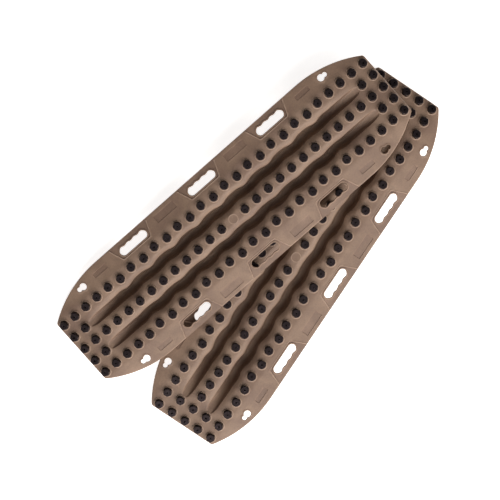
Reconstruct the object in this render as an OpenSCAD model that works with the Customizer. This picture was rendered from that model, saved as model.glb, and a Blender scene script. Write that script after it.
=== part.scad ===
// A pair of vehicle traction boards for snow, sand and mud. Each is one moulded
// shell with bolted metal teeth; the upper board lies crosswise on the lower one.
// Frame: millimetres, +Z up, X along the lower board, floor at Z = 0,
// origin at the middle of the pair's footprint.

/* [Board] */
// Length of one board
board_l = 1156; // [1150:1:1162]
// Width of one board
board_w = 332; // [330:0.5:336]
// Height of the rails above the floor
rail_h = 52; // [50:0.5:56]
// Wall thickness of the moulding
wall = 4; // [3.5:0.1:4.5]
// Depth of the skirt and of the ribs under the plate
rib_depth = 9; // [8:0.5:10]
// Height that the side flange drops from the rail to the edge
flange_drop = 10; // [6:0.5:14]

/* [Troughs] */
// Distance of each trough from the middle line
trough_y = 42; // [41:0.5:43]
// Width of a trough at its mouth
trough_mouth = 26.5; // [25:0.5:28]
// Width of a trough at its floor
trough_floor = 14; // [12:0.5:15]
// Where the trough floor starts to climb
trough_ramp_x = 420; // [410:1:430]
// Where the trough floor meets the top of the board
trough_tip_x = 496; // [490:1:500]

/* [Ends] */
// Where the flat length ends and the nose curve starts
nose_x = 351; // [345:1:355]
// Radius of the nose curve, seen from the side
nose_r = 780; // [740:10:900]
// Where the long edges start to curve in
shoulder_x = 375; // [370:1:380]
// Radius of that curve, seen from above
shoulder_r = 360; // [350:5:370]

/* [Teeth] */
// Distance between teeth along a rail
tooth_pitch = 43.9; // [43.6:0.1:44.2]
// Distance between teeth along the nose curve
nose_pitch = 42.6; // [42:0.1:43]
// Width of a tooth across its flats
tooth_flats = 22; // [20:0.5:23]
// Height of a tooth
tooth_h = 13; // [11:0.5:14]
// Diameter of the threaded shank
shank_d = 8; // [7:0.5:9]

/* [Hand slots] */
// Distance between hand slots
slot_pitch = 257; // [250:1:264]
// Distance of the slots from the middle line
slot_y = 136; // [134:0.5:138]
// Length of a slot
slot_l = 96; // [90:1:100]
// Width of a slot
slot_w = 25; // [23:0.5:27]

/* [Pin holes] */
// Distance of a pin hole from the middle of the board, lengthwise
pin_x = 447.4; // [445:0.1:450]
// Distance of a pin hole from the middle line
pin_y = 135.7; // [135:0.1:136]
// Radius of a pin hole
pin_r = 10.2; // [9:0.1:11]

/* [Upper board] */
// Turn of the upper board about the vertical
upper_turn = -14.4; // [-14.6:0.1:-14.2]

/* [Hidden] */

half_l = board_l / 2;
half_w = board_w / 2;
rail_edge_y = 107;             // where the rail top turns down into the flange
flange_slope = flange_drop / (half_w - rail_edge_y);
corner_r = 10;                 // corners of the plan outline
big_fn = 360;                  // facets of the large plan and nose curves
small_fn = 48;                 // facets of holes and round details
shoulder_steps = 10;
corner_steps = 3;
deep = 120;                    // reaches past the board, up or down
rib_w = 3;
flat_ribs = 5;                 // on each side of the middle, every second tooth gap
nose_ribs = [457, 541];

// Crease of the lower corner facets: three points of the plane
facet_at = [464, 123, 43.8];
facet_tilt = 18.2;
facet_turn = 48.9;

// Teeth: number of the last one before the nose curve, and of the nose rows
last_flat = 8;
last_rail = 11;
last_nose = 13;
side_in_y = 84;                // zigzag of the side rails
side_out_y = 89;
nose_row_y = 44;               // spacing of the five teeth in a nose row
tooth_chamfer = 2.2;
socket_flats = 6;
socket_depth = 5;
shank_l = 15;
hole_d = shank_d + 0.4;
washer_d = 16;
washer_t = 1.6;
nut_flats = 13;
nut_h = 6.5;
thread_gap = 0.1;              // on the diameter, between shank and nut
seat_gap = 0.12;               // under the plate, where it is slightly hollow

// Rest position of the boards: the lower one flat, the upper one leaning on its teeth
footprint_mid = [-5.04, 155.3, 0];  // middle of the pair, seen from the lower board's middle
upper_at = [-4, 210, 43.25];   // middle of the upper board, seen the same way
upper_pitch = 4.9;             // nose_b end up
upper_roll = -1.8;             // right edge up

// ---------- rules for the teeth ----------

function nose_angle(k) = (abs(k) - last_flat) * nose_pitch / nose_r * 180 / PI;
function tooth_x(k) =
    abs(k) <= last_flat
    ? k * tooth_pitch
    : sign(k) * (nose_x + nose_r * sin(nose_angle(k)));
function tooth_z(k) =
    abs(k) <= last_flat ? rail_h : rail_h - nose_r * (1 - cos(nose_angle(k)));
function tooth_lean(k) = abs(k) <= last_flat ? 0 : sign(k) * nose_angle(k);
function side_y(k) =
    (abs(k) <= last_flat && abs(k) % 2 == 0) ? side_in_y : side_out_y;

// ---------- board ----------

function shoulder_y() = half_w - shoulder_r;

// A quarter of the plan outline, pulled in by inset: the shoulder curve, then the corner
function quarter_points(inset) =
    let (
        run = half_l - corner_r - shoulder_x,
        rise = sqrt(pow(shoulder_r - corner_r, 2) - pow(run, 2)),
        lean = atan2(run, rise),
        corner = [shoulder_x + run, shoulder_y() + rise]
    )
    concat(
        [for (i = [0:shoulder_steps])
            let (a = lean * i / shoulder_steps, r = shoulder_r - inset)
            [shoulder_x + r * sin(a), shoulder_y() + r * cos(a)]],
        [for (i = [1:corner_steps])
            let (a = lean + (90 - lean) * i / corner_steps, r = corner_r - inset)
            [corner[0] + r * sin(a), corner[1] + r * cos(a)]]
    );

function reversed(points) = [for (i = [len(points) - 1:-1:0]) points[i]];

function mirrored(points, sx, sy) = [for (p = points) [sx * p[0], sy * p[1]]];

// Plan outline, pulled in by inset, as a tall prism
module outline_prism(inset) {
    quarter = quarter_points(inset);
    translate([0, 0, -deep])
        linear_extrude(2 * deep)
            polygon(concat(
                quarter, reversed(mirrored(quarter, 1, -1)),
                mirrored(quarter, -1, -1), reversed(mirrored(quarter, -1, 1))
            ));
}

// Everything under the top surface of a board with no troughs, lowered by drop
module under_surface(drop) {
    reach_y = half_w + 10;
    low = deep / 2;
    difference() {
        translate([0, 0, -drop]) intersection() {
            rotate([90, 0, 0]) linear_extrude(2 * reach_y, center = true) {
                translate([-nose_x, -low]) square([2 * nose_x, low + rail_h]);
                for (s = [-1, 1])
                    translate([s * nose_x, rail_h - nose_r])
                        circle(r = nose_r, $fn = big_fn * 2);
            }
            rotate([90, 0, 90]) linear_extrude(board_l + 20, center = true)
                polygon([
                    [-reach_y, rail_h - flange_slope * (reach_y - rail_edge_y)],
                    [-rail_edge_y, rail_h], [rail_edge_y, rail_h],
                    [reach_y, rail_h - flange_slope * (reach_y - rail_edge_y)],
                    [reach_y, -low], [-reach_y, -low]
                ]);
        }
        for (mx = [0, 1], my = [0, 1])
            mirror([mx, 0, 0]) mirror([0, my, 0])
                translate([facet_at[0], facet_at[1], facet_at[2] - drop])
                    rotate([0, facet_tilt, facet_turn])
                        translate([-deep, -deep, 0]) cube([2 * deep, 2 * deep, deep]);
    }
}

// One trough's space (grow = 0) or its outer wall (grow = wall)
module trough(grow) {
    slope = (trough_mouth - trough_floor) / 2 / (rail_h - wall);
    floor_z = wall - grow;
    floor_half = trough_floor / 2 + grow - slope * grow;
    top_z = rail_h + 20;
    top_half = floor_half + slope * (top_z - floor_z);
    tip_z = rail_h - nose_r + sqrt(pow(nose_r, 2) - pow(trough_tip_x - nose_x, 2));
    rise = (tip_z - wall) / (trough_tip_x - trough_ramp_x);
    out_x = trough_tip_x + 30;
    low_z = floor_z - grow * 0.1;
    intersection() {
        rotate([90, 0, 90]) linear_extrude(2 * out_x, center = true)
            polygon([
                [-top_half, top_z], [-floor_half, floor_z],
                [floor_half, floor_z], [top_half, top_z]
            ]);
        rotate([90, 0, 0]) linear_extrude(4 * trough_mouth, center = true)
            polygon([
                [-out_x, low_z + rise * (out_x - trough_ramp_x)],
                [-trough_ramp_x, low_z], [trough_ramp_x, low_z],
                [out_x, low_z + rise * (out_x - trough_ramp_x)],
                [out_x, top_z + 10], [-out_x, top_z + 10]
            ]);
    }
}

// A hand slot with a finger-waved outer edge, grown by rim
module hand_slot(rim) {
    waves = 4;
    wave_r = 14;
    wave_pitch = (slot_l - 2 * wave_r) / (waves - 1);
    inner_y = slot_y - slot_w / 2;
    straight_w = slot_w - 2;
    end_x = slot_l / 2 - straight_w / 2;
    translate([0, 0, -deep]) linear_extrude(2 * deep) {
        for (s = [-1, 1])
            translate([s * end_x, inner_y + straight_w / 2])
                circle(d = straight_w + 2 * rim, $fn = small_fn);
        translate([-end_x, inner_y - rim]) square([2 * end_x, straight_w + 2 * rim]);
        intersection() {
            for (i = [0:waves - 1])
                translate([(i - (waves - 1) / 2) * wave_pitch, slot_y + slot_w / 2 - wave_r])
                    circle(r = wave_r + rim, $fn = small_fn);
            translate([-slot_l, slot_y]) square([2 * slot_l, slot_w]);
        }
    }
}

// A pin hole and the narrow lobe beside it, grown by rim
module pin_hole(rim) {
    lobe_r = 6.8;
    lobe_step = 13.6;
    translate([pin_x, pin_y, 0])
        cylinder(r = pin_r + rim, h = 2 * deep, center = true, $fn = small_fn);
    translate([pin_x + lobe_step, pin_y, 0])
        cylinder(r = lobe_r + rim, h = 2 * deep, center = true, $fn = small_fn);
}

module at_slots() {
    for (i = [-1:1], my = [0, 1])
        mirror([0, my, 0]) translate([i * slot_pitch, 0, 0]) children();
}

module at_pins() {
    for (mx = [0, 1], my = [0, 1]) mirror([mx, 0, 0]) mirror([0, my, 0]) children();
}

// Shallow flared recess around each hand slot
module slot_recesses() {
    depth = 1.5;
    inner_half = 50;
    outer_half = 72;
    inner_y = 118.5;
    difference() {
        at_slots() translate([0, 0, -deep]) linear_extrude(2 * deep)
            polygon([
                [-inner_half, inner_y], [inner_half, inner_y],
                [outer_half, half_w + 5], [-outer_half, half_w + 5]
            ]);
        under_surface(depth);
    }
}

// Middles of the ribs across the underside, each halfway between two teeth
function rib_places() = concat(
    [for (x = reversed(nose_ribs)) -x],
    [for (i = [-flat_ribs:flat_ribs - 1])
        (i < 0 ? 2 * i + 1.5 : 2 * i + 0.5) * tooth_pitch],
    nose_ribs
);

// Spaces between the ribs on the underside
module rib_cells() {
    ribs = rib_places();
    starts = concat([-half_l], [for (x = ribs) x + rib_w / 2]);
    ends = concat([for (x = ribs) x - rib_w / 2], [half_l]);
    flange_in = rail_edge_y + rib_w / 2;
    difference() {
        intersection() {
            under_surface(wall);
            outline_prism(wall);
            for (i = [0:len(starts) - 1])
                translate([starts[i], 0, -deep]) {
                    translate([0, -rail_edge_y + rib_w / 2, 0])
                        cube([ends[i] - starts[i], 2 * rail_edge_y - rib_w, 2 * deep]);
                    for (my = [0, 1]) mirror([0, my, 0])
                        translate([0, flange_in, 0])
                            cube([ends[i] - starts[i], half_w, 2 * deep]);
                }
        }
        at_slots() hand_slot(wall);
        at_pins() pin_hole(wall);
    }
}

module board_shell() {
    difference() {
        union() {
            difference() {
                intersection() {
                    under_surface(0);
                    outline_prism(0);
                }
                under_surface(rib_depth);
                rib_cells();
            }
            intersection() {
                under_surface(0);
                outline_prism(0);
                for (s = [-1, 1]) translate([0, s * trough_y, 0]) trough(wall);
            }
        }
        for (s = [-1, 1]) translate([0, s * trough_y, 0]) trough(0);
        at_slots() hand_slot(0);
        at_pins() pin_hole(0);
        slot_recesses();
        at_all_teeth() cylinder(d = hole_d, h = 40, center = true, $fn = small_fn);
    }
}

// ---------- fasteners ----------

module at_tooth(k, y) {
    translate([tooth_x(k), y, tooth_z(k)]) rotate([0, tooth_lean(k), 0]) children();
}

module at_side(s) {
    for (k = [-last_rail:last_rail]) at_tooth(k, s * side_y(k)) children();
}

module at_centre() {
    for (k = [-last_rail:last_rail]) if (k != 0) at_tooth(k, 0) children();
}

module at_nose(s) {
    for (k = [last_rail + 1:last_nose], i = [-2:2]) at_tooth(s * k, i * nose_row_y) children();
}

module at_all_teeth() {
    for (s = [-1, 1]) {
        at_side(s) children();
        at_nose(s) children();
    }
    at_centre() children();
}

// A chamfered hexagonal tooth with its shank; the corners point across the board
module tooth() {
    corner_d = tooth_flats / cos(30);
    chamfer_run = tooth_chamfer * 1.2;
    difference() {
        union() {
            intersection() {
                rotate(90) cylinder(d = corner_d, h = tooth_h, $fn = 6);
                union() {
                    cylinder(d = corner_d + 1, h = tooth_h - tooth_chamfer, $fn = small_fn);
                    translate([0, 0, tooth_h - tooth_chamfer])
                        cylinder(d1 = corner_d + 1, d2 = corner_d + 1 - 2 * chamfer_run,
                            h = tooth_chamfer, $fn = small_fn);
                }
            }
            translate([0, 0, -shank_l]) cylinder(d = shank_d, h = shank_l + 1, $fn = small_fn);
        }
        translate([0, 0, tooth_h - socket_depth])
            cylinder(d = socket_flats / cos(30), h = socket_depth + 1, $fn = 6);
    }
}

module washer() {
    translate([0, 0, -wall - seat_gap - washer_t]) difference() {
        cylinder(d = washer_d, h = washer_t, $fn = small_fn);
        translate([0, 0, -1]) cylinder(d = hole_d, h = washer_t + 2, $fn = small_fn);
    }
}

module nut() {
    translate([0, 0, -wall - seat_gap - washer_t - nut_h]) difference() {
        rotate(90) cylinder(d = nut_flats / cos(30), h = nut_h, $fn = 6);
        translate([0, 0, -1])
            cylinder(d = shank_d + thread_gap, h = nut_h + 2, $fn = small_fn);
    }
}

// ---------- the two boards ----------

module on_lower() {
    translate(-footprint_mid) children();
}

module on_upper() {
    translate(upper_at - footprint_mid)
        rotate([0, 0, upper_turn]) rotate([upper_roll, -upper_pitch, 0]) children();
}

module lower_board() { color("#8d6f5c") on_lower() board_shell(); }
module upper_board() { color("#957662") on_upper() board_shell(); }

module lower_teeth_left() { color("#35302f") on_lower() at_side(1) tooth(); }
module lower_teeth_centre() { color("#35302f") on_lower() at_centre() tooth(); }
module lower_teeth_right() { color("#35302f") on_lower() at_side(-1) tooth(); }
module lower_teeth_nose_a() { color("#35302f") on_lower() at_nose(-1) tooth(); }
module lower_teeth_nose_b() { color("#35302f") on_lower() at_nose(1) tooth(); }
module lower_washers_left() { color("#b9bcc0") on_lower() at_side(1) washer(); }
module lower_washers_centre() { color("#b9bcc0") on_lower() at_centre() washer(); }
module lower_washers_right() { color("#b9bcc0") on_lower() at_side(-1) washer(); }
module lower_washers_nose_a() { color("#b9bcc0") on_lower() at_nose(-1) washer(); }
module lower_washers_nose_b() { color("#b9bcc0") on_lower() at_nose(1) washer(); }
module lower_nuts_left() { color("#a4a7ab") on_lower() at_side(1) nut(); }
module lower_nuts_centre() { color("#a4a7ab") on_lower() at_centre() nut(); }
module lower_nuts_right() { color("#a4a7ab") on_lower() at_side(-1) nut(); }
module lower_nuts_nose_a() { color("#a4a7ab") on_lower() at_nose(-1) nut(); }
module lower_nuts_nose_b() { color("#a4a7ab") on_lower() at_nose(1) nut(); }

module upper_teeth_left() { color("#35302f") on_upper() at_side(1) tooth(); }
module upper_teeth_centre() { color("#35302f") on_upper() at_centre() tooth(); }
module upper_teeth_right() { color("#35302f") on_upper() at_side(-1) tooth(); }
module upper_teeth_nose_a() { color("#35302f") on_upper() at_nose(-1) tooth(); }
module upper_teeth_nose_b() { color("#35302f") on_upper() at_nose(1) tooth(); }
module upper_washers_left() { color("#b9bcc0") on_upper() at_side(1) washer(); }
module upper_washers_centre() { color("#b9bcc0") on_upper() at_centre() washer(); }
module upper_washers_right() { color("#b9bcc0") on_upper() at_side(-1) washer(); }
module upper_washers_nose_a() { color("#b9bcc0") on_upper() at_nose(-1) washer(); }
module upper_washers_nose_b() { color("#b9bcc0") on_upper() at_nose(1) washer(); }
module upper_nuts_left() { color("#a4a7ab") on_upper() at_side(1) nut(); }
module upper_nuts_centre() { color("#a4a7ab") on_upper() at_centre() nut(); }
module upper_nuts_right() { color("#a4a7ab") on_upper() at_side(-1) nut(); }
module upper_nuts_nose_a() { color("#a4a7ab") on_upper() at_nose(-1) nut(); }
module upper_nuts_nose_b() { color("#a4a7ab") on_upper() at_nose(1) nut(); }

lower_board();
lower_teeth_left();
lower_teeth_centre();
lower_teeth_right();
lower_teeth_nose_a();
lower_teeth_nose_b();
lower_washers_left();
lower_washers_centre();
lower_washers_right();
lower_washers_nose_a();
lower_washers_nose_b();
lower_nuts_left();
lower_nuts_centre();
lower_nuts_right();
lower_nuts_nose_a();
lower_nuts_nose_b();
upper_board();
upper_teeth_left();
upper_teeth_centre();
upper_teeth_right();
upper_teeth_nose_a();
upper_teeth_nose_b();
upper_washers_left();
upper_washers_centre();
upper_washers_right();
upper_washers_nose_a();
upper_washers_nose_b();
upper_nuts_left();
upper_nuts_centre();
upper_nuts_right();
upper_nuts_nose_a();
upper_nuts_nose_b();
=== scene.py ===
# %% [markdown]
# # A pair of vehicle traction boards
# Two identical boards of moulded nylon, each with 88 bolted metal teeth, lie one across the other.
# The CAD model gives every place and size. This script keeps its teeth, washers and nuts and gives
# them finishes, and it replaces each plain board shell with a finely moulded one of the same size.

# %% Load the CAD frame
import math

import bmesh
import bpy
import numpy as np
from mathutils import Matrix, Vector


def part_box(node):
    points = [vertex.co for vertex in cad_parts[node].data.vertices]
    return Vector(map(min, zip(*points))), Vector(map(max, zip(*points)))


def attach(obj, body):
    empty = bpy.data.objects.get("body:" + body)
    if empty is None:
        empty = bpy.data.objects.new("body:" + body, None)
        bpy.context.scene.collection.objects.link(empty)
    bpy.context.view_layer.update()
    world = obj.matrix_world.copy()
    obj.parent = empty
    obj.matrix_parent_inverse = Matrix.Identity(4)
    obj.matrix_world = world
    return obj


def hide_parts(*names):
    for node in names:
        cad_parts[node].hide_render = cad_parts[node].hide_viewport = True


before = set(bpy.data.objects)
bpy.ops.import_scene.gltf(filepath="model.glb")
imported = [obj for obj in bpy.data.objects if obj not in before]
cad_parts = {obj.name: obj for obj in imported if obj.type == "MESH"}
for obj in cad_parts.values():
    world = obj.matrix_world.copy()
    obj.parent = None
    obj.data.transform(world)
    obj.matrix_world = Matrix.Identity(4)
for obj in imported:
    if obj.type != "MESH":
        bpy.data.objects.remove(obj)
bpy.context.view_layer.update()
MM = 0.001

# %% [markdown]
# ## Sizes of one board
# A moulded part is drawn about its own middle: X along it, Y across it, Z up from the floor it
# stands on. All lengths here are millimetres and repeat the CAD part's sizes, so that the moulded
# shell lands exactly where the plain one was.

# %% Board sizes
BOARD_LENGTH = 1156.0
BOARD_WIDTH = 332.0
RAIL_TOP = 52.0
WALL = 4.0
SKIRT = 9.0
RAIL_EDGE = 107.0
FLANGE_DROP = 10.0
FLANGE_SLOPE = FLANGE_DROP / (BOARD_WIDTH / 2 - RAIL_EDGE)
NOSE_START = 351.0
NOSE_RADIUS = 780.0
SHOULDER_START = 375.0
SHOULDER_RADIUS = 360.0
CORNER_RADIUS = 10.0
HALF_LENGTH = BOARD_LENGTH / 2
CREASE_ROUND = 5.0     # the bend between rail and flange
FACET_ROUND = 1.6      # the crease of the corner facets
EDGE_ROUND = 3.0       # the outer rim
RIB_HALF = 1.5         # half the thickness of a rib on the underside
HAIR = 0.05            # the tiny step that makes a rib's side upright

TOOTH_PITCH = 43.9
NOSE_PITCH = 42.6
LAST_FLAT_TOOTH = 8
LAST_RAIL_TOOTH = 11
LAST_NOSE_TOOTH = 13
print("board", BOARD_LENGTH, "x", BOARD_WIDTH, "x", RAIL_TOP)

# %% [markdown]
# ## The top surface as a function
# Seen from the side the board is flat, and it curves down at both noses. Across it, the three
# rails are level and the flanges fall away outside them. Each corner has one more facet, a plane
# that cuts the flange off towards the tip. One function gives the height anywhere, so every later
# piece can be set on the surface without fitting.


# %% Height of the top surface
FACET_HEIGHT = 43.8    # of the corner facet's plane at FACET_X, FACET_Y
FACET_X = 464.0
FACET_Y = 123.0
FACET_FALL_X = 0.2163
FACET_FALL_Y = 0.248


def nose_drop(x):
    """How far the nose has curved down at x."""
    run = max(abs(x) - NOSE_START, 0.0)
    return NOSE_RADIUS - math.sqrt(NOSE_RADIUS ** 2 - run ** 2)


def soft_bend(t, r):
    """0 below -r, t above r, and a smooth curve between them."""
    if t <= -r:
        return 0.0
    return t if t >= r else (t + r) ** 2 / (4 * r)


def soft_min(a, b, r):
    """The smaller of two heights, blended where they cross."""
    mix = min(max(0.5 + 0.5 * (b - a) / r, 0.0), 1.0)
    return b + (a - b) * mix - r * mix * (1 - mix)


def surface(x, y):
    """Height of the top side anywhere on the board, before the troughs are sunk into it."""
    height = RAIL_TOP - nose_drop(x) - FLANGE_SLOPE * soft_bend(abs(y) - RAIL_EDGE, CREASE_ROUND)
    facet = FACET_HEIGHT - FACET_FALL_X * (abs(x) - FACET_X) - FACET_FALL_Y * (abs(y) - FACET_Y)
    return soft_min(height, facet, FACET_ROUND)


def half_width(x):
    """Half the board's width at x: straight, then the shoulder curve, then the small corner."""
    a = min(abs(x), HALF_LENGTH)
    centre_x = HALF_LENGTH - CORNER_RADIUS
    base = BOARD_WIDTH / 2 - SHOULDER_RADIUS
    reach = SHOULDER_RADIUS - CORNER_RADIUS
    centre_y = base + math.sqrt(reach ** 2 - (centre_x - SHOULDER_START) ** 2)
    tangent_x = SHOULDER_START + SHOULDER_RADIUS * (centre_x - SHOULDER_START) / reach
    if a > tangent_x:
        return centre_y + math.sqrt(max(CORNER_RADIUS ** 2 - (a - centre_x) ** 2, 0.0))
    return base + math.sqrt(SHOULDER_RADIUS ** 2 - max(a - SHOULDER_START, 0.0) ** 2)


print("rail height at the tip", round(surface(HALF_LENGTH, 0), 1))

# %% [markdown]
# ## The two troughs
# Between the rails run two deep troughs that dig into snow and stiffen the board. Their walls lean
# a few degrees so that the mould can open, their mouths are broadly rounded, and the rail edges
# swell in and out in time with the zigzag of the teeth. The shape across a trough is given as a
# share of the full depth at a distance from the trough's middle.

# %% Trough profile
TROUGH_MIDDLE = 42.0
TROUGH_FLOOR = 4.0
FLOOR_HALF = 8.2
FOOT_HALF = 10.0       # where the wall meets the rounded foot
FOOT_SHARE = 0.885
MOUTH_HALF = 14.6
LIP_WIDTH = 17.6
LIP_SHARE = 0.17       # how much of the depth the rounded lip takes
LIP_POWER = 2.1        # how evenly the lip rolls over
LIP_STEPS = 8
WALL_STEPS = 4
OUTER_HALF = MOUTH_HALF + LIP_WIDTH


def trough_profile():
    """Half the trough from its outer edge in: (distance from its middle, share of the depth)."""
    points = []
    for i in range(LIP_STEPS + 1):
        t = i / LIP_STEPS
        points.append((OUTER_HALF - LIP_WIDTH * t, LIP_SHARE * t ** LIP_POWER))
    mouth = points[-1]
    for i in range(1, WALL_STEPS + 1):
        t = i / WALL_STEPS
        points.append((
            mouth[0] + (FOOT_HALF - mouth[0]) * t,
            mouth[1] + (FOOT_SHARE - mouth[1]) * t,
        ))
    for t in (0.33, 0.66, 1.0):
        a, b, c = (1 - t) ** 2, 2 * t * (1 - t), t * t
        points.append((a * FOOT_HALF + b * FLOOR_HALF + c * 3.0, a * FOOT_SHARE + b + c))
    return points


PROFILE = trough_profile()
PROFILE_X = np.array([p[0] for p in PROFILE][::-1])
PROFILE_SHARE = np.array([p[1] for p in PROFILE][::-1])


def depth_share(offset):
    """Share of the full depth at a distance from the trough's middle."""
    return float(np.interp(abs(offset), PROFILE_X, PROFILE_SHARE, left=1.0, right=0.0))


print("trough points", len(PROFILE))

# %% [markdown]
# ## The troughs along the board
# Towards each nose the trough's floor climbs in a long ramp to meet the top, and the trough
# narrows to a rounded tip there. Between the noses its edges carry a row of lobes.

# %% Ramps, tips and lobes
RAMP_START = 378.0
RAMP_ROUND = 0.12      # how softly the ramp starts, as a share of its length
TIP_START = 452.0
TIP_END = 507.0
TIP_POWER = 3          # how blunt the rounded tip is
LEAST_SPREAD = 0.3     # the outline never gets narrower than this share
LEAST_DEPTH = 0.02     # nor its depth less than this one
SWELL_INNER = 1.9
SWELL_OUTER = 3.4
SWELL_END = 400.0      # no swell beyond this, and it fades over the last SWELL_FADE
SWELL_FADE = 40.0
LOBE_SHARPNESS = 1.7
LOBE_BALANCE = 0.86    # keeps the middle of the wave near the plain edge


def trough_depth(x):
    """Full depth along the board; near the noses the floor climbs to meet the top."""
    if abs(x) >= TIP_END:
        return 0.0
    climb = min(soft_bend((abs(x) - RAMP_START) / (TIP_END - RAMP_START), RAMP_ROUND), 1.0)
    tip_height = RAIL_TOP - nose_drop(TIP_END)
    floor_height = TROUGH_FLOOR + (tip_height - TROUGH_FLOOR) * climb
    return max(RAIL_TOP - nose_drop(x) - floor_height, 0.0)


def tip_scale(x):
    """1 along the board, and down to 0 at the rounded tip of the trough."""
    t = min(max((abs(x) - TIP_START) / (TIP_END - TIP_START), 0.0), 1.0)
    return (1 - t ** TIP_POWER) ** (1 / TIP_POWER)


def tip_shape(x):
    """How wide and how deep the trough is drawn at x, as shares of its full size, never quite 0."""
    return max(tip_scale(x), LEAST_SPREAD), max(tip_scale(x), LEAST_DEPTH)


def lobes(x, sign):
    """A row of lobes, one at every second tooth (sign 1) or between them (sign -1)."""
    fade = min(max((SWELL_END - abs(x)) / SWELL_FADE, 0.0), 1.0)
    wave = 0.5 + 0.5 * sign * math.cos(math.pi * x / TOOTH_PITCH)
    return (2 * wave ** LOBE_SHARPNESS - LOBE_BALANCE) * fade


def swell(x):
    """The in-and-out of the side rails' edges; positive swells towards the trough."""
    return lobes(x, 1)


def inner_swell(x):
    """The same for the centre rail, which swells where the side rails don't."""
    return -lobes(x, -1)


def swell_share(offset):
    """All of the swell at the trough's mouth, none in its middle and little at the lip's top."""
    knots = [3, MOUTH_HALF - 2, MOUTH_HALF + 5, OUTER_HALF]
    return float(np.interp(abs(offset), knots, [0, 1, 1, 0.3]))


print("trough depth in the middle", trough_depth(0), "mm")

# %% [markdown]
# ## One closed cross-section
# The shell is drawn the way a ship's hull is lofted: a closed outline of the wall at each station
# along the length, top side and underside, and then skinned. That keeps a true wall thickness and
# puts points exactly where the shape bends, which a displaced grid can't do on a steep wall.


# %% Cross-section
FLANGE_KNOTS = [80, 87, 93, 98, 102, 105, 107, 109, 112, 116, 121, 127, 133, 139, 145, 151, 157]
RIM_TURNS = [0, 22.5, 45, 67.5, 90]
UNDER_OFFSETS = [
    OUTER_HALF + WALL, 28, 23.5, 21, MOUTH_HALF + WALL,
    FOOT_HALF + WALL, FLOOR_HALF + 3.4, FLOOR_HALF,
]


def top_half(x, sink):
    """Points of the top side from the middle line out to the rim, at station x."""
    spread, shrink = tip_shape(x)
    depth, wave, inner_wave = trough_depth(x), swell(x), inner_swell(x)
    inner_start = TROUGH_MIDDLE - OUTER_HALF * spread
    outer_end = TROUGH_MIDDLE + OUTER_HALF * spread
    points = [(inner_start * i / 3, 0.0) for i in range(3)]
    for offset, _ in PROFILE:
        y = TROUGH_MIDDLE - offset * spread - SWELL_INNER * inner_wave * swell_share(offset)
        points.append((y, depth * depth_share(offset * spread / shrink)))
    points.append((TROUGH_MIDDLE, depth * depth_share(0)))
    for offset, _ in PROFILE[::-1]:
        y = TROUGH_MIDDLE + offset * spread - SWELL_OUTER * wave * swell_share(offset)
        points.append((y, depth * depth_share(offset * spread / shrink)))
    rim = half_width(x) - EDGE_ROUND
    scale = (rim - outer_end) / (BOARD_WIDTH / 2 - EDGE_ROUND - outer_end)
    points += [(outer_end + max(knot - outer_end, 0) * scale, 0.0) for knot in FLANGE_KNOTS]
    made = [(y, surface(x, y) - drop - sink) for y, drop in points]
    height = surface(x, rim) - sink
    for turn in RIM_TURNS:
        a = math.radians(turn)
        made.append((rim + EDGE_ROUND * math.sin(a), height - EDGE_ROUND * (1 - math.cos(a))))
    return made, height


def under_half(x, thick, height):
    """Points of the underside from the rim to the middle line; thick is WALL, or SKIRT in a rib."""
    width = half_width(x)
    inner = width - WALL
    spread, shrink = tip_shape(x)
    depth = trough_depth(x)
    made = [(width, height - SKIRT + 0.8), (width - 0.8, height - SKIRT), (inner, height - SKIRT)]
    flat = [(inner - HAIR, thick), (150, thick), (135, thick), (120, thick)]
    flat += [(RAIL_EDGE + RIB_HALF + HAIR, thick), (RAIL_EDGE + RIB_HALF, SKIRT)]
    flat += [(RAIL_EDGE - RIB_HALF, SKIRT), (RAIL_EDGE - RIB_HALF - HAIR, thick)]
    flat += [(94, thick), (82, thick)]
    for j, (y, deep) in enumerate(flat):
        y = min(y, inner - 0.06 * (j + 1))
        made.append((y, min(surface(x, y), height) - deep))
    for side, amount in ((1, SWELL_OUTER * swell(x)), (-1, SWELL_INNER * inner_swell(x))):
        for offset in UNDER_OFFSETS[::side]:
            above = max(offset - WALL, 0.0)
            y = TROUGH_MIDDLE + side * offset * spread - amount * swell_share(max(above, 3))
            drop = depth * depth_share(above * spread / shrink)
            made.append((y, surface(x, y) - max(WALL + drop, thick)))
    made.append((0.0, surface(x, 0) - thick))
    return made


def section(x, thick):
    """The whole closed outline at x; at the board's ends the top edge rounds over like the rim."""
    over = max(abs(x) - (HALF_LENGTH - EDGE_ROUND), 0.0)
    sink = EDGE_ROUND - math.sqrt(max(EDGE_ROUND ** 2 - over ** 2, 0.0))
    top, height = top_half(x, sink)
    half = top + under_half(x, thick, height + sink)
    return half + [(-y, z) for y, z in half[-2:0:-1]]


print("points in a section", len(section(0, WALL)))

# %% [markdown]
# ## Stations
# Stations sit every 5 mm or so. They come closer where the trough tips turn, and at the very end,
# where the top edge rounds over. Across the underside runs a rib in every second gap between
# teeth; a rib is simply two pairs of stations a hair apart, with the thicker section between them.

# %% Stations along the board
RIBS = [(2 * i + 0.5) * TOOTH_PITCH for i in range(5)] + [457.0, 541.0]
RIB_CLEAR = 0.6        # no plain station this close to a rib's side


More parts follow.
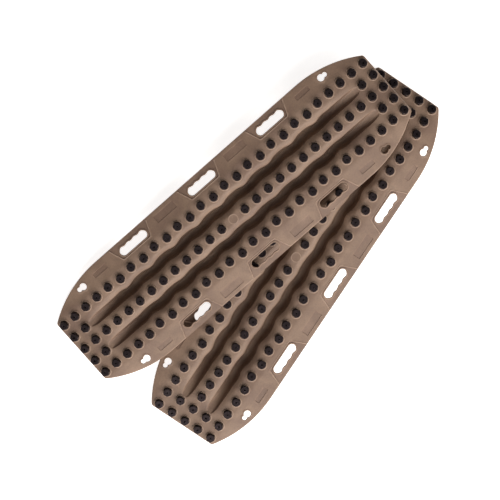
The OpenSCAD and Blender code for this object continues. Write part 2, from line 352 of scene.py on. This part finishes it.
def stations():
    """Places along the board, each with the thickness of the plate there."""
    half = list(np.arange(TOOTH_PITCH / 16, 440, TOOTH_PITCH / 8))
    half += list(np.arange(442, 500, 3.4)) + [502, 504, 505.5, 506.6, 507.4]
    half += list(np.arange(511, 566, 4.4)) + [571, 573.5, 575, 576, 576.8, 577.5, 577.9, 578]
    skirt_from = HALF_LENGTH - WALL
    plain = [(x, WALL if x < skirt_from else SKIRT) for x in half]
    plain += [(skirt_from - HAIR, WALL), (skirt_from, SKIRT)]
    for rib in RIBS:
        plain = [s for s in plain if abs(s[0] - rib) > RIB_HALF + RIB_CLEAR]
        for off, thick in ((-RIB_HALF - HAIR, WALL), (-RIB_HALF, SKIRT)):
            plain += [(rib + off, thick), (rib - off, thick)]
    plain.sort()
    return [(-x, t) for x, t in plain[::-1]] + plain


print("stations", len(stations()))

# %% [markdown]
# ## From outlines to a solid
# A skin joins each outline to the next with a band of faces and closes both ends with flat caps.
# The same helper makes the board here and every small cutter further on.


# %% Skin the board
def mesh_object(name, verts, faces):
    """A new object in the scene from points and faces."""
    mesh = bpy.data.meshes.new(name)
    mesh.from_pydata([tuple(v) for v in verts], [], faces)
    mesh.update()
    made = bpy.data.objects.new(name, mesh)
    bpy.context.scene.collection.objects.link(made)
    return made


def skin(name, loops):
    """A closed solid through equal closed loops of points, with a flat cap at each end."""
    count = len(loops[0])
    verts = [p for loop in loops for p in loop]
    faces = []
    for i in range(len(loops) - 1):
        for j in range(count):
            k = (j + 1) % count
            faces.append((i * count + j, i * count + k, (i + 1) * count + k, (i + 1) * count + j))
    faces.append(tuple(range(count))[::-1])
    faces.append(tuple((len(loops) - 1) * count + j for j in range(count)))
    return mesh_object(name, verts, faces)


def outward(piece):
    """Turns all faces of a closed piece to face out."""
    bm = bmesh.new()
    bm.from_mesh(piece.data)
    bmesh.ops.recalc_face_normals(bm, faces=bm.faces)
    if bm.calc_volume(signed=True) < 0:
        bmesh.ops.reverse_faces(bm, faces=bm.faces)
    bm.to_mesh(piece.data)
    bm.free()
    return piece


loops = [[(x, y, z) for y, z in section(x, t)] for x, t in stations()]
board = outward(skin("board_blank", loops))
print("blank faces", len(board.data.polygons))

# %% [markdown]
# ## Small solids that follow the surface
# Recesses, slots and holes are cut from the blank as a toolmaker would sink them, with solid
# cutters. Each cutter is an outline repeated at several levels, and each level is measured from
# the board's own surface, so it follows the flange slope and the nose curve.


# %% Cutter helpers
def grown(outline, by):
    """The outline moved outward by a distance, point by point along its normals."""
    points = np.array(outline)
    ahead, behind = np.roll(points, -1, axis=0), np.roll(points, 1, axis=0)
    tangent = ahead - behind
    tangent /= np.linalg.norm(tangent, axis=1)[:, None]
    area = np.sum(points[:, 0] * ahead[:, 1] - points[:, 1] * ahead[:, 0])
    side = 1 if area > 0 else -1
    return points + by * side * np.stack([tangent[:, 1], -tangent[:, 0]], axis=1)


def level_loop(outline, lift):
    """The outline laid on the board's surface and lifted by a height."""
    return [(x, y, surface(x, y) + lift) for x, y in outline]


def shrunk(outline, share):
    """The outline drawn in towards its own middle."""
    points = np.array(outline)
    middle = points.mean(axis=0)
    return middle + (points - middle) * share


def rounded(corners, radius, steps=5):
    """A polygon with its corners rounded by short arcs."""
    made = []
    for i, corner in enumerate(corners):
        here = np.array(corner, float)
        before = np.array(corners[i - 1], float) - here
        after = np.array(corners[(i + 1) % len(corners)], float) - here
        start = here + before / np.linalg.norm(before) * radius
        end = here + after / np.linalg.norm(after) * radius
        for s in range(steps + 1):
            t = s / steps
            made.append((1 - t) ** 2 * start + 2 * t * (1 - t) * here + t * t * end)
    return dense(made)


def dense(outline, step=6.0):
    """The same outline with points no further apart than step."""
    made = []
    for i, a in enumerate(outline):
        b = outline[(i + 1) % len(outline)]
        parts = max(1, int(np.linalg.norm(np.array(b) - np.array(a)) // step))
        made += [np.array(a) + (np.array(b) - np.array(a)) * s / parts for s in range(parts)]
    return made


def mirrored(outline, sx, sy):
    """The outline on another side of the board; sx and sy are 1 or -1."""
    return [(sx * x, sy * y) for x, y in outline]


def joined(name, pieces):
    """One object from many closed pieces, which it deletes."""
    bm = bmesh.new()
    for piece in pieces:
        bm.from_mesh(piece.data)
        bpy.data.objects.remove(piece)
    bmesh.ops.recalc_face_normals(bm, faces=bm.faces)
    mesh = bpy.data.meshes.new(name)
    bm.to_mesh(mesh)
    bm.free()
    made = bpy.data.objects.new(name, mesh)
    bpy.context.scene.collection.objects.link(made)
    return made


def combine(target, tool, operation):
    """Cuts the tool from the target, or fuses it on, and deletes the tool."""
    modifier = target.modifiers.new("tool", "BOOLEAN")
    modifier.operation = operation
    modifier.object = tool
    modifier.solver = "MANIFOLD"
    modifier.material_mode = "TRANSFER"
    bpy.context.view_layer.update()
    shaped = target.evaluated_get(bpy.context.evaluated_depsgraph_get())
    mesh = bpy.data.meshes.new_from_object(shaped)
    target.modifiers.clear()
    target.data = mesh
    bpy.data.objects.remove(tool)
    print(operation, "leaves", len(mesh.polygons), "faces")


print("cutter helpers ready")

# %% [markdown]
# ## Outlines of the hand slots, pin holes and recesses
# A hand slot is long and round-ended, with a straight inner edge and four shallow finger waves on
# its outer edge. A pin hole is a round hole with a smaller lobe beside it. Around each slot the
# flange is sunk a little in a shape that flares towards the rim and is edged with a low bead, and
# blank label panels are sunk between the slots.

# %% Outlines
SLOT_PITCH = 257.0
SLOT_MIDDLE = 136.0
SLOT_HALF = 48.0
SLOT_CAP = 12.0        # length of the rounded end
SLOT_INNER = 12.5      # from the slot's middle line to its straight edge
SLOT_OUTER = 11.2      # and to the middle of the finger waves
WAVE_HEIGHT = 1.3
WAVE_PITCH = 24.0
PIN_X = 447.4
PIN_Y = 135.7
PIN_RADIUS = 10.2
LOBE_RADIUS = 6.8
LOBE_STEP = 13.6


def slot_outline(middle_x):
    """A hand slot on the left side, as points in order."""
    turns = np.linspace(0, math.pi, 57)
    xs = [SLOT_HALF * math.cos(t) for t in turns]
    over = [max(abs(x) - (SLOT_HALF - SLOT_CAP), 0.0) / SLOT_CAP for x in xs]
    ends = [math.sqrt(max(1 - o * o, 0.0)) for o in over]
    phases = [2 * math.pi * (x / WAVE_PITCH - 0.5) for x in xs]
    waves = [SLOT_OUTER + WAVE_HEIGHT * math.cos(phase) for phase in phases]
    outer = [(middle_x + x, SLOT_MIDDLE + w * e) for x, w, e in zip(xs, waves, ends)]
    inner = [(middle_x + x, SLOT_MIDDLE - SLOT_INNER * e) for x, e in zip(xs, ends)]
    return outer + inner[::-1][1:-1]


def pin_outline(rim=0.0):
    """A pin hole with its side lobe, or the same grown by a rim."""
    turns = np.linspace(0, math.pi, 33)
    main_radius, lobe_radius = PIN_RADIUS + rim, LOBE_RADIUS + rim
    low, high = -main_radius, LOBE_STEP + lobe_radius
    xs = [(low + high) / 2 + (high - low) / 2 * math.cos(t) for t in turns]
    rise = []
    for x in xs:
        main = math.sqrt(max(main_radius ** 2 - x * x, 0.0))
        lobe = math.sqrt(max(lobe_radius ** 2 - (x - LOBE_STEP) ** 2, 0.0))
        rise.append(max(main, lobe))
    upper = [(PIN_X + x, PIN_Y + r) for x, r in zip(xs, rise)]
    lower = [(PIN_X + x, PIN_Y - r) for x, r in zip(xs, rise)]
    return upper + lower[::-1][1:-1]


SIDES = [(1, 1), (1, -1), (-1, 1), (-1, -1)]
SLOT_PLACES = [(i * SLOT_PITCH, s) for i in (-1, 0, 1) for s in (1, -1)]
slots = [mirrored(slot_outline(x), 1, s) for x, s in SLOT_PLACES]
pins = [mirrored(pin_outline(), sx, sy) for sx, sy in SIDES]
recess = rounded([(-50, 118.5), (50, 118.5), (72, 174), (-72, 174)], 5)
recesses = [[(x + middle, y * s) for x, y in recess] for middle, s in SLOT_PLACES]
long_panel = rounded([(95, 131), (167, 131), (167, 154), (95, 154)], 3)
short_panel = rounded([(356, 131), (404, 131), (404, 146), (356, 146)], 3)
panels = [mirrored(p, sx, sy) for p in (long_panel, short_panel) for sx, sy in SIDES]
print(len(slots), "slots,", len(pins), "pin holes,", len(recesses), "recesses,", len(panels), "panels")

# %% [markdown]
# ## Seats of the teeth
# Each tooth stands in a low round seat that is moulded with the rail and keeps the tooth from
# turning its corners into the nylon. The one place in the middle of the board with no tooth has
# only a thin ring. A seat is turned on a lathe: a profile swept round the tooth's axis.


# %% Tooth places and seats
SIDE_ROW = 89.0        # distance of a side rail's teeth from the middle line
ZIGZAG_ROW = 84.0      # and of every second one
NOSE_ROWS = (-88, -44, 0, 44, 88)


def tooth_frame(k, y):
    """Where tooth number k of a row stands, and how the nose tilts it."""
    if abs(k) <= LAST_FLAT_TOOTH:
        return Matrix.Translation((k * TOOTH_PITCH, y, RAIL_TOP))
    turn = (abs(k) - LAST_FLAT_TOOTH) * NOSE_PITCH / NOSE_RADIUS
    side = 1 if k > 0 else -1
    x = side * (NOSE_START + NOSE_RADIUS * math.sin(turn))
    z = RAIL_TOP - NOSE_RADIUS * (1 - math.cos(turn))
    return Matrix.Translation((x, y, z)) @ Matrix.Rotation(side * turn, 4, "Y")


def tooth_places():
    """Every tooth of a board as (number along the board, distance across it)."""
    places = []
    for k in range(-LAST_NOSE_TOOTH, LAST_NOSE_TOOTH + 1):
        if abs(k) > LAST_RAIL_TOOTH:
            places += [(k, y) for y in NOSE_ROWS]
            continue
        side = ZIGZAG_ROW if abs(k) <= LAST_FLAT_TOOTH and k % 2 == 0 else SIDE_ROW
        places += [(k, -side), (k, side)] + ([(k, 0)] if k else [])
    return places


def turned(name, profile, place, steps=32):
    """A closed ring or disc from a profile of (radius, height), turned about the place's axis."""
    loops = []
    for i in range(steps):
        a = 2 * math.pi * i / steps
        loops.append([place @ Vector((r * math.cos(a), r * math.sin(a), h)) for r, h in profile])
    count = len(profile)
    verts = [tuple(p) for loop in loops for p in loop]
    faces = []
    for i in range(steps):
        here, ahead = i * count, (i + 1) % steps * count
        for j in range(count):
            k = (j + 1) % count
            faces.append((here + j, ahead + j, ahead + k, here + k))
    return mesh_object(name, verts, faces)


SEAT = [(13.1, -2.4), (13.1, 0.8), (13.6, 1.3), (14.6, 1.4), (15.5, 1.1), (16.3, 0.1), (16.5, -2.4)]
BLANK = [(12.0, -2.4), (12.0, 0.1), (12.8, 0.45), (14.0, 0.45), (14.8, 0.1), (15.2, -2.4)]
places = tooth_places()
rings = [turned("seat", SEAT, tooth_frame(k, y)) for k, y in places]
rings.append(turned("seat", BLANK, tooth_frame(0, 0)))
seats = joined("seats", rings)
print(len(places), "seats")

# %% [markdown]
# ## Lips and beads
# A wall as deep as the skirt runs round every slot and pin hole, and ends in a low lip that
# stiffens the edge. A low bead frames each slot's sunk shape on three sides.

# %% Lips and beads
LIP_NARROWING = 1.2    # how much a lip's top is narrower than its foot
SLOT_LIP = 0.7
PIN_LIP = 0.5
BEAD = [(-1.7, -2.0), (-1.7, 0.0), (-0.8, 0.75), (0, 0.95), (0.8, 0.75), (1.7, 0.0), (1.7, -2.0)]
BEAD_PATH = [(-69, 162), (-50.5, 117), (50.5, 117), (69, 162)]


def collar(name, foot, top, foot_lift, top_lift):
    """The wall round an opening, from the skirt's depth to a low lip above the face."""
    loops = [level_loop(foot, h) for h in (-SKIRT, -5.0, foot_lift)]
    return skin(name, loops + [level_loop(top, top_lift)])


def slot_collar(outline):
    """The wall and lip of a hand slot."""
    narrow = grown(outline, WALL - LIP_NARROWING)
    return collar("collar", grown(outline, WALL), narrow, -0.6, SLOT_LIP)


def pin_collar(sx, sy):
    """The wall and lip of the pin hole in one corner."""
    wide = mirrored(pin_outline(WALL), sx, sy)
    narrow = mirrored(pin_outline(WALL - LIP_NARROWING), sx, sy)
    return collar("collar", wide, narrow, -0.2, PIN_LIP)


def along(path, step=6.0):
    """Points no further apart than step along an open path."""
    made = []
    for a, b in zip(path, path[1:]):
        start, leg = np.array(a), np.array(b) - np.array(a)
        parts = max(1, int(np.linalg.norm(leg) // step))
        made += [start + leg * i / parts for i in range(parts)]
    return np.array(made + [np.array(path[-1])])


def bead(path):
    """A low ridge moulded along an open path on the surface."""
    points = along(path)
    ahead = np.gradient(points, axis=0)
    ahead /= np.linalg.norm(ahead, axis=1)[:, None]
    across = np.stack([-ahead[:, 1], ahead[:, 0]], axis=1)
    loops = []
    for p, n in zip(points, across):
        spots = [(*(p + n * w), h) for w, h in BEAD]
        loops.append([(x, y, surface(x, y) + h) for x, y, h in spots])
    return skin("bead", loops)


paths = [[(x + middle, y * s) for x, y in BEAD_PATH] for middle, s in SLOT_PLACES]
beads = joined("beads", [bead(path) for path in paths])
print(len(paths), "beads")

# %% [markdown]
# ## Finishes
# Every finish is named for what the real one is. Colours are written as sRGB hex, the way a paint
# card gives them, and one function turns them into the linear light that the renderer works in.


# %% Material helpers
def hex_colour(code):
    """The linear colour of an sRGB hex code."""
    channels = [int(code[i:i + 2], 16) / 255 for i in (1, 3, 5)]
    return [c / 12.92 if c <= 0.04045 else ((c + 0.055) / 1.055) ** 2.4 for c in channels] + [1.0]


def add(tree, kind, inputs=None, **settings):
    """Adds a shader node with its settings; an input is a value or another node's output."""
    made = tree.nodes.new("ShaderNode" + kind)
    for name, value in settings.items():
        setattr(made, name, value)
    for name, value in (inputs or {}).items():
        if isinstance(value, bpy.types.NodeSocket):
            tree.links.new(value, made.inputs[name])
        else:
            made.inputs[name].default_value = value
    return made


def per_metre(size_mm):
    """Pattern scale for one feature of this size."""
    return 1 / (size_mm * MM)


def ramp(tree, factor, stops):
    """A colour ramp; a stop is a place with an sRGB hex colour or a plain grey value."""
    made = add(tree, "ValToRGB", {"Fac": factor})
    points = made.color_ramp.elements
    while len(points) < len(stops):
        points.new(0.5)
    for point, (place, colour) in zip(points, stops):
        point.position = place
        point.color = hex_colour(colour) if isinstance(colour, str) else [colour] * 3 + [1.0]
    return made.outputs["Color"]


def new_material(name):
    """An empty material and its node tree."""
    made = bpy.data.materials.new(name)
    made.use_nodes = True
    tree = made.node_tree
    tree.nodes.clear()
    return made, tree


def close(tree, shader):
    """Joins the finished shader to the material's output."""
    add(tree, "OutputMaterial", {"Surface": shader.outputs["BSDF"]})


print("card colour #826957 is", [round(v, 3) for v in hex_colour("#826957")[:3]])

# %% [markdown]
# ## Glass-reinforced nylon, moulded
# Nylon filled with glass fibre comes from the mould with a fine dull grain that scatters light, so
# the eye sees a soft, even sheen and no mirror. The fibres and flow give it faint clouds a few
# centimetres across. Ridges that get rubbed go paler. The seats and beads, which stand proud, are
# paler still: partly rubbing wear and partly a painted highlight round each tooth and along each
# bead. The sunk panels carry a finer spark-eroded grain and are coloured a shade darker. The real
# grain is about 0.5 mm; it is drawn at 2 mm so that it shows from where a whole board is seen.

# %% Nylon
NYLON_IOR = 1.53
CLOUD_MM = 70.0
GRAIN_MM = 2.0
FLECK_MM = 4.0


def moulded_nylon(name, dark, mid, pale, grain_depth_mm):
    """Dull nylon in three close shades, with flecks of fibre and a fine grain."""
    made, tree = new_material(name)
    where = add(tree, "TexCoord").outputs["Object"]
    clouds = add(tree, "TexNoise", {"Vector": where, "Scale": per_metre(CLOUD_MM), "Detail": 4.0,
                                    "Roughness": 0.55, "Distortion": 0.4})
    flecks = add(tree, "TexNoise", {"Vector": where, "Scale": per_metre(FLECK_MM), "Detail": 3.0,
                                    "Roughness": 0.6})
    cloud_colour = ramp(tree, clouds.outputs["Fac"], [(0.32, dark), (0.52, mid), (0.72, pale)])
    fleck_light = ramp(tree, flecks.outputs["Fac"], [(0.3, 0.80), (0.5, 0.93), (0.72, 1.0)])
    tinted = add(tree, "Mix", {"Factor": 1.0, "A": cloud_colour, "B": fleck_light},
                 data_type="RGBA", blend_type="MULTIPLY")
    edges = add(tree, "NewGeometry").outputs["Pointiness"]
    ridge = ramp(tree, edges, [(0.505, 0.0), (0.56, 0.5)])
    worn = add(tree, "Mix", {"Factor": ridge, "A": tinted.outputs["Result"], "B": hex_colour(pale)},
               data_type="RGBA")
    rough = add(tree, "MapRange", {"Value": flecks.outputs["Fac"], "To Min": 0.5, "To Max": 0.72})
    grain = add(tree, "TexVoronoi", {"Vector": where, "Scale": per_metre(GRAIN_MM)},
                feature="SMOOTH_F1")
    bump = add(tree, "Bump", {"Height": grain.outputs["Distance"], "Strength": 0.55,
                              "Distance": grain_depth_mm * MM})
    close(tree, add(tree, "BsdfPrincipled", {
        "Base Color": worn.outputs["Result"], "Roughness": rough.outputs["Result"],
        "IOR": NYLON_IOR, "Normal": bump.outputs["Normal"],
    }))
    return made


sand_nylon = moulded_nylon("glass_nylon_moulded_grain", "#765d4e", "#826957", "#907663", 0.35)
# The sunk shapes take a finer grain and a colour a shade darker than the flange.
sunk_nylon = moulded_nylon("glass_nylon_spark_eroded", "#6f5749", "#7b6252", "#896f5e", 0.2)
# Paler nylon for the seats and beads: rubbing wear, and a painted highlight round each tooth and along
# each bead.
rubbed_highlight_nylon = moulded_nylon("glass_nylon_rubbed_painted_highlight", "#8b7262", "#957c6a", "#a08776", 0.2)
print("nylon finishes:", [m.name for m in (sand_nylon, sunk_nylon, rubbed_highlight_nylon)])

# %% [markdown]
# ## Cutting the board
# The raised seats and beads are fused on first. Then the order follows the mould: the shallow
# sunk shapes, the walls round the openings, and last the slots, the pin holes and the bores for
# the threaded shanks right through. Each tool carries a finish, and the faces that it makes take
# it from the tool.

# %% Cut recesses, slots and holes
SINK_RUN = 0.9         # how far the sloped side of a sunk shape runs in
RECESS_DEPTH = 1.5
PANEL_DEPTH = 1.1
CHAMFER = 1.6          # round the mouth of every opening
CLEAR = 15             # cutters reach this far above the surface
BORE_RADIUS = 4.2
BORE_LOW, BORE_HIGH = -9, 6
AXIS_GAP = 0.01        # a lathe profile stops just short of its axis


def sunk_cutter(outline, depth):
    """A shallow cutter with a sloped side and a floor that follows the surface."""
    inner = grown(outline, -SINK_RUN)
    loops = [level_loop(shrunk(inner, s), -depth) for s in (0.25, 0.6, 1.0)]
    loops += [level_loop(grown(outline, SINK_RUN), h) for h in (depth, CLEAR)]
    return skin("sunk", loops)


def through_cutter(outline):
    """A cutter right through the board that widens at the top to break the edge."""
    loops = [level_loop(outline, h) for h in (-25, -0.4)]
    loops += [level_loop(grown(outline, CHAMFER), h) for h in (1.2, CLEAR)]
    return skin("through", loops)


board.data.materials.append(sand_nylon)
# The seats and beads take the paler nylon, partly rubbing wear and partly a painted highlight.
for raised in (seats, beads):
    raised.data.materials.append(rubbed_highlight_nylon)
    combine(board, raised, "UNION")
sunk = [sunk_cutter(o, RECESS_DEPTH) for o in recesses]
sunk += [sunk_cutter(o, PANEL_DEPTH) for o in panels]
sunk = joined("sunk_shapes", sunk)
sunk.data.materials.append(sunk_nylon)
combine(board, sunk, "DIFFERENCE")
collars = [slot_collar(o) for o in slots] + [pin_collar(sx, sy) for sx, sy in SIDES]
collars = joined("collars", collars)
collars.data.materials.append(sand_nylon)
combine(board, collars, "UNION")
shank = [(AXIS_GAP, BORE_LOW), (BORE_RADIUS, BORE_LOW), (BORE_RADIUS, BORE_HIGH)]
shank.append((AXIS_GAP, BORE_HIGH))
bores = [turned("bore", shank, tooth_frame(k, y), 20) for k, y in places]
through = joined("through_shapes", [through_cutter(o) for o in slots + pins] + bores)
through.data.materials.append(sand_nylon)
combine(board, through, "DIFFERENCE")
for i, finish in enumerate(board.data.materials):
    if finish is None:
        board.data.materials[i] = sand_nylon
print("materials on the board:", [m.name for m in board.data.materials])

# %% [markdown]
# ## Two boards from one mould
# The lower board lies flat. The upper one lies across it and leans, one nose on the floor and its
# trough floor on the lower board's teeth, exactly as the CAD part's upper board does. The finished
# mesh is copied and moved by the same turn, pitch and roll, and each copy replaces its CAD shell.

# %% Place both boards
lower_low, lower_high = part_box("lower_board")
LOWER_AT = Vector(((lower_low.x + lower_high.x) / 2, (lower_low.y + lower_high.y) / 2, 0))
UPPER_FROM_LOWER = Vector((-4.0, 210.0, 43.25)) * MM
UPPER_TURN, UPPER_PITCH, UPPER_ROLL = -14.4, 4.9, -1.8
SHARP_ANGLE = math.radians(38)


def board_copy(name, body, node, place):
    """A copy of the finished board at its place, standing in for one CAD shell."""
    mesh = board.data.copy()
    mesh.name = name
    mesh.transform(place @ Matrix.Diagonal((MM, MM, MM, 1)))
    mesh.shade_smooth()
    mesh.set_sharp_from_angle(angle=SHARP_ANGLE)
    made = bpy.data.objects.new(name, mesh)
    bpy.context.scene.collection.objects.link(made)
    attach(made, body)
    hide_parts(node)
    low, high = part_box(node)
    mine = [made.matrix_world @ v.co for v in mesh.vertices]
    off = [max(v[i] for v in mine) - high[i] for i in range(3)]
    print(name, "stands proud of its CAD box by", [round(v / MM, 2) for v in off], "mm")
    return made


lower_place = Matrix.Translation(LOWER_AT)
turn = Matrix.Rotation(math.radians(UPPER_TURN), 4, "Z")
pitch = Matrix.Rotation(math.radians(-UPPER_PITCH), 4, "Y")
roll = Matrix.Rotation(math.radians(UPPER_ROLL), 4, "X")
upper_place = Matrix.Translation(LOWER_AT + UPPER_FROM_LOWER) @ turn @ pitch @ roll
board_copy("lower_moulded_board", "lower", "lower_board", lower_place)
board_copy("upper_moulded_board", "upper", "upper_board", upper_place)
bpy.data.objects.remove(board)

# %% [markdown]
# ## Hard-anodised alloy, for the teeth
# Hard anodising grows a dark, dense oxide on aluminium: the eye sees a charcoal satin with small
# sharp glints where corners have rubbed bright. The blast marks under the oxide are about 0.2 mm;
# they are drawn at 1.2 mm so that they show. The edge wear compares the real normal with one
# rounded over 0.9 mm, which is how far a boot or a tyre rubs a corner.

# %% Hard-anodised alloy
EDGE_WEAR_MM = 0.9
BLAST_MM = 1.2
SCUFF_MM = 9.0


def hard_anodised_alloy():
    """Dark oxide with scuffs and bright rubbed corners."""
    made, tree = new_material("hard_anodised_alloy")
    where = add(tree, "TexCoord").outputs["Object"]
    blast = add(tree, "TexNoise", {"Vector": where, "Scale": per_metre(BLAST_MM), "Detail": 3.0})
    scuffs = add(tree, "TexNoise", {"Vector": where, "Scale": per_metre(SCUFF_MM), "Detail": 5.0,
                                    "Roughness": 0.7})
    soft = add(tree, "Bevel", {"Radius": EDGE_WEAR_MM * MM}, samples=6)
    true = add(tree, "NewGeometry").outputs["Normal"]
    agree = add(tree, "VectorMath", {0: soft.outputs["Normal"], 1: true}, operation="DOT_PRODUCT")
    edge = ramp(tree, agree.outputs["Value"], [(0.80, 1.0), (0.97, 0.0)])
    patchy = ramp(tree, scuffs.outputs["Fac"], [(0.45, 0.0), (0.66, 0.8)])
    wear = add(tree, "Mix", {"Factor": 1.0, "A": edge, "B": patchy},
               data_type="RGBA", blend_type="MULTIPLY").outputs["Result"]
    oxide = ramp(tree, scuffs.outputs["Fac"],
                 [(0.3, "#211b1c"), (0.55, "#2a2325"), (0.75, "#352e30")])
    colour = add(tree, "Mix", {"Factor": wear, "A": oxide, "B": hex_colour("#8d8586")},
                 data_type="RGBA")
    rough = add(tree, "MapRange", {"Value": scuffs.outputs["Fac"], "To Min": 0.34, "To Max": 0.6})
    bump = add(tree, "Bump", {"Height": blast.outputs["Fac"], "Strength": 0.35,
                              "Distance": 0.12 * MM})
    close(tree, add(tree, "BsdfPrincipled", {
        "Base Color": colour.outputs["Result"], "Metallic": 0.9,
        "Roughness": rough.outputs["Result"], "Normal": bump.outputs["Normal"],
    }))
    return made


# %% [markdown]
# ## Stainless steel, stamped and turned
# The washers are stamped from cold-rolled sheet and tumbled, which leaves a dull silvery face with
# fine rolling lines. The nuts are turned from bar, brighter, with tool marks. The real marks are
# about 0.1 mm apart; both are drawn at 0.8 mm so that they show.


# %% Stainless steel
MARK_MM = 0.8
STAIN_MM = 12.0


def stainless_steel(name, dark, pale, low_rough, high_rough, stretch):
    """Steel with faint stains and tool marks, which stretch draws out along one axis."""
    made, tree = new_material(name)
    where = add(tree, "TexCoord").outputs["Object"]
    drawn = add(tree, "Mapping", {"Vector": where, "Scale": stretch})
    marks = add(tree, "TexNoise", {"Vector": drawn.outputs["Vector"], "Scale": per_metre(MARK_MM),
                                   "Detail": 4.0})
    stains = add(tree, "TexNoise", {"Vector": where, "Scale": per_metre(STAIN_MM),
                                    "Detail": 3.0})
    colour = ramp(tree, stains.outputs["Fac"], [(0.35, dark), (0.65, pale)])
    rough = add(tree, "MapRange", {"Value": marks.outputs["Fac"], "To Min": low_rough,
                                   "To Max": high_rough})
    bump = add(tree, "Bump", {"Height": marks.outputs["Fac"], "Strength": 0.25,
                              "Distance": 0.08 * MM})
    close(tree, add(tree, "BsdfPrincipled", {
        "Base Color": colour, "Metallic": 1.0, "Roughness": rough.outputs["Result"],
        "Normal": bump.outputs["Normal"],
    }))
    return made


finishes = {
    "teeth": hard_anodised_alloy(),
    "washers": stainless_steel("stainless_stamped", "#a9a9a8", "#c4c5c6", 0.32, 0.5, (0.08, 1, 1)),
    "nuts": stainless_steel("stainless_turned", "#9d9d9e", "#bbbcbe", 0.24, 0.42, (1, 1, 0.1)),
}
dressed = 0
for node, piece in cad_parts.items():
    kind = node.split("_")[1]
    if kind not in finishes:
        continue
    for slot in piece.material_slots:
        slot.material = finishes[kind]
    dressed += 1
print("CAD nodes with a finish:", dressed)

# %% [markdown]
# ## Floor and light
# The floor is a plain pale light table, which glows a little so that shadows on it stay faint.
# One broad soft light stands low over the near side: flanges that face it are bright, the far ones
# darker, and the troughs stay deep. A weak even fill comes from all round.

# %% Floor and light
FLOOR_RADIUS = 60.0
FLOOR_CORNERS = 64
FLOOR_GAP = 0.5 * MM
PAPER_GRAIN_MM = 4.0
LIGHT_ANGLE = 86.0
LIGHT_HEIGHT = 31.0
LIGHT_FROM = Vector((-0.5, -0.87, 0)).normalized()
LIGHT_COLOUR = (1.0, 0.968, 0.93)
KEY_STRENGTH = 6.1
FILL_STRENGTH = 0.13
BACKDROP_STRENGTH = 0.95
TABLE_GLOW = 0.8
WHITE = (1.0, 1.0, 1.0, 1.0)

paper, paper_tree = new_material("pale_paper_floor")
where = add(paper_tree, "TexCoord").outputs["Object"]
fibre = add(paper_tree, "TexNoise", {"Vector": where, "Scale": per_metre(PAPER_GRAIN_MM),
                                     "Detail": 2.0})
close(paper_tree, add(paper_tree, "BsdfPrincipled", {
    "Base Color": ramp(paper_tree, fibre.outputs["Fac"], [(0.3, "#f7f6f5"), (0.7, "#fbfbfa")]),
    "Roughness": 0.9, "Specular IOR Level": 0.1,
    "Emission Color": WHITE, "Emission Strength": TABLE_GLOW,
}))
corners = [2 * math.pi * i / FLOOR_CORNERS for i in range(FLOOR_CORNERS)]
circle = [(FLOOR_RADIUS * math.cos(a), FLOOR_RADIUS * math.sin(a), 0) for a in corners]
floor = mesh_object("floor", circle, [tuple(range(FLOOR_CORNERS))])
floor.location.z = -FLOOR_GAP
floor.data.materials.append(paper)

sun = bpy.data.lights.new("soft_key", "SUN")
sun.energy = KEY_STRENGTH
sun.angle = math.radians(LIGHT_ANGLE)
sun.color = LIGHT_COLOUR
key = bpy.data.objects.new("soft_key", sun)
bpy.context.scene.collection.objects.link(key)
height = math.radians(LIGHT_HEIGHT)
toward = LIGHT_FROM * math.cos(height) + Vector((0, 0, math.sin(height)))
key.rotation_mode = "QUATERNION"
key.rotation_quaternion = toward.to_track_quat("Z", "Y")

world = bpy.data.worlds.new("studio")
bpy.context.scene.world = world
world.use_nodes = True
sky = world.node_tree
sky.nodes.clear()
fill = add(sky, "Background", {"Color": WHITE, "Strength": FILL_STRENGTH})
backdrop = add(sky, "Background", {"Color": WHITE, "Strength": BACKDROP_STRENGTH})
seen = add(sky, "LightPath").outputs["Is Camera Ray"]
both = add(sky, "MixShader", {0: seen, 1: fill.outputs[0], 2: backdrop.outputs[0]})
add(sky, "OutputWorld", {"Surface": both.outputs[0]})
bpy.context.scene.view_settings.view_transform = "Standard"
print("light", LIGHT_HEIGHT, "degrees above the floor")

# %% [markdown]
# ## Camera
# The camera stands far off with a long lens, almost straight above, so that the boards keep their
# true proportions. It is turned so that the boards run up to the right.

# %% Camera
DISTANCE = 12.0
LENS = 303.77
SENSOR_WIDTH = 36.0
FAR_CLIP = 200.0
VIEW_FROM = Vector((0.0222, 0.1093, 0))
VIEW_FROM.z = math.sqrt(1 - VIEW_FROM.length_squared)
PICTURE_TURN = math.radians(-55.954)
AIM_RIGHT, AIM_UP = -0.1271, 0.0166

camera = bpy.data.objects.new("camera", bpy.data.cameras.new("camera"))
bpy.context.scene.collection.objects.link(camera)
up = Vector((-math.sin(PICTURE_TURN), math.cos(PICTURE_TURN), 0))
up = (up - VIEW_FROM * up.dot(VIEW_FROM)).normalized()
right = up.cross(VIEW_FROM)
eye = LOWER_AT + VIEW_FROM * DISTANCE
aim = LOWER_AT + right * AIM_RIGHT + up * AIM_UP
back = (eye - aim).normalized()
right = up.cross(back).normalized()
up = back.cross(right)
camera_axes = Matrix((right, up, back)).transposed()
camera.matrix_world = Matrix.Translation(eye) @ camera_axes.to_4x4()
camera.data.lens = LENS
camera.data.sensor_width = SENSOR_WIDTH
camera.data.clip_end = FAR_CLIP
bpy.context.scene.camera = camera
print("camera at", [round(v, 3) for v in eye])
